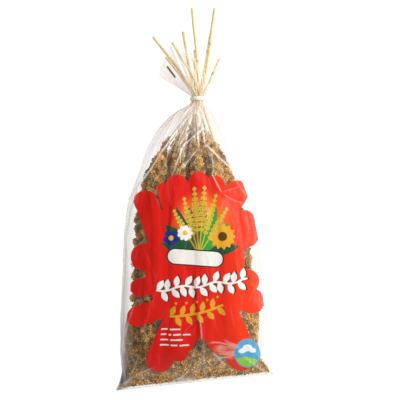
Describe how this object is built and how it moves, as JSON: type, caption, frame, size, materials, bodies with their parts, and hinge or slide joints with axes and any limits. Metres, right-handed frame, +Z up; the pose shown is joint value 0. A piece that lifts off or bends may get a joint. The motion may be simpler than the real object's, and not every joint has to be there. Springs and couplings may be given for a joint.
{
  "type": "tied bag of foxtail millet heads",
  "caption": "Clear film bag of dried foxtail millet heads, lying on its back, its neck tied round the straw stalks.",
  "frame": {"origin": "middle of the flat patch under the bag, on the surface that it lies on", "axes": "+Y from the bottom seal towards the cut stalks, +Z up out of the printed face, +X to the right when the print is seen from above with the stalks at the top"},
  "size_m": [0.193, 0.4645, 0.0651],
  "materials": {
    "clear_film": "clear crinkled film with a red print on its top face",
    "tie_band": "matt white band",
    "millet_seed": "dry grain, matt",
    "straw": "dry straw, slightly glossy"
  },
  "bodies": {
    "root": {"film_bag": "clear_film", "tie": "tie_band", "millet_head_1": "millet_seed", "millet_head_2": "millet_seed", "millet_head_3": "millet_seed", "millet_head_4": "millet_seed", "millet_head_5": "millet_seed", "millet_head_6": "millet_seed", "millet_head_7": "millet_seed", "millet_head_8": "millet_seed", "millet_head_9": "millet_seed", "stalk_1": "straw", "stalk_2": "straw", "stalk_3": "straw", "stalk_4": "straw", "stalk_5": "straw", "stalk_6": "straw", "stalk_7": "straw", "stalk_8": "straw", "stalk_9": "straw", "loose_seed": "millet_seed"}
  },
  "joints": []
}
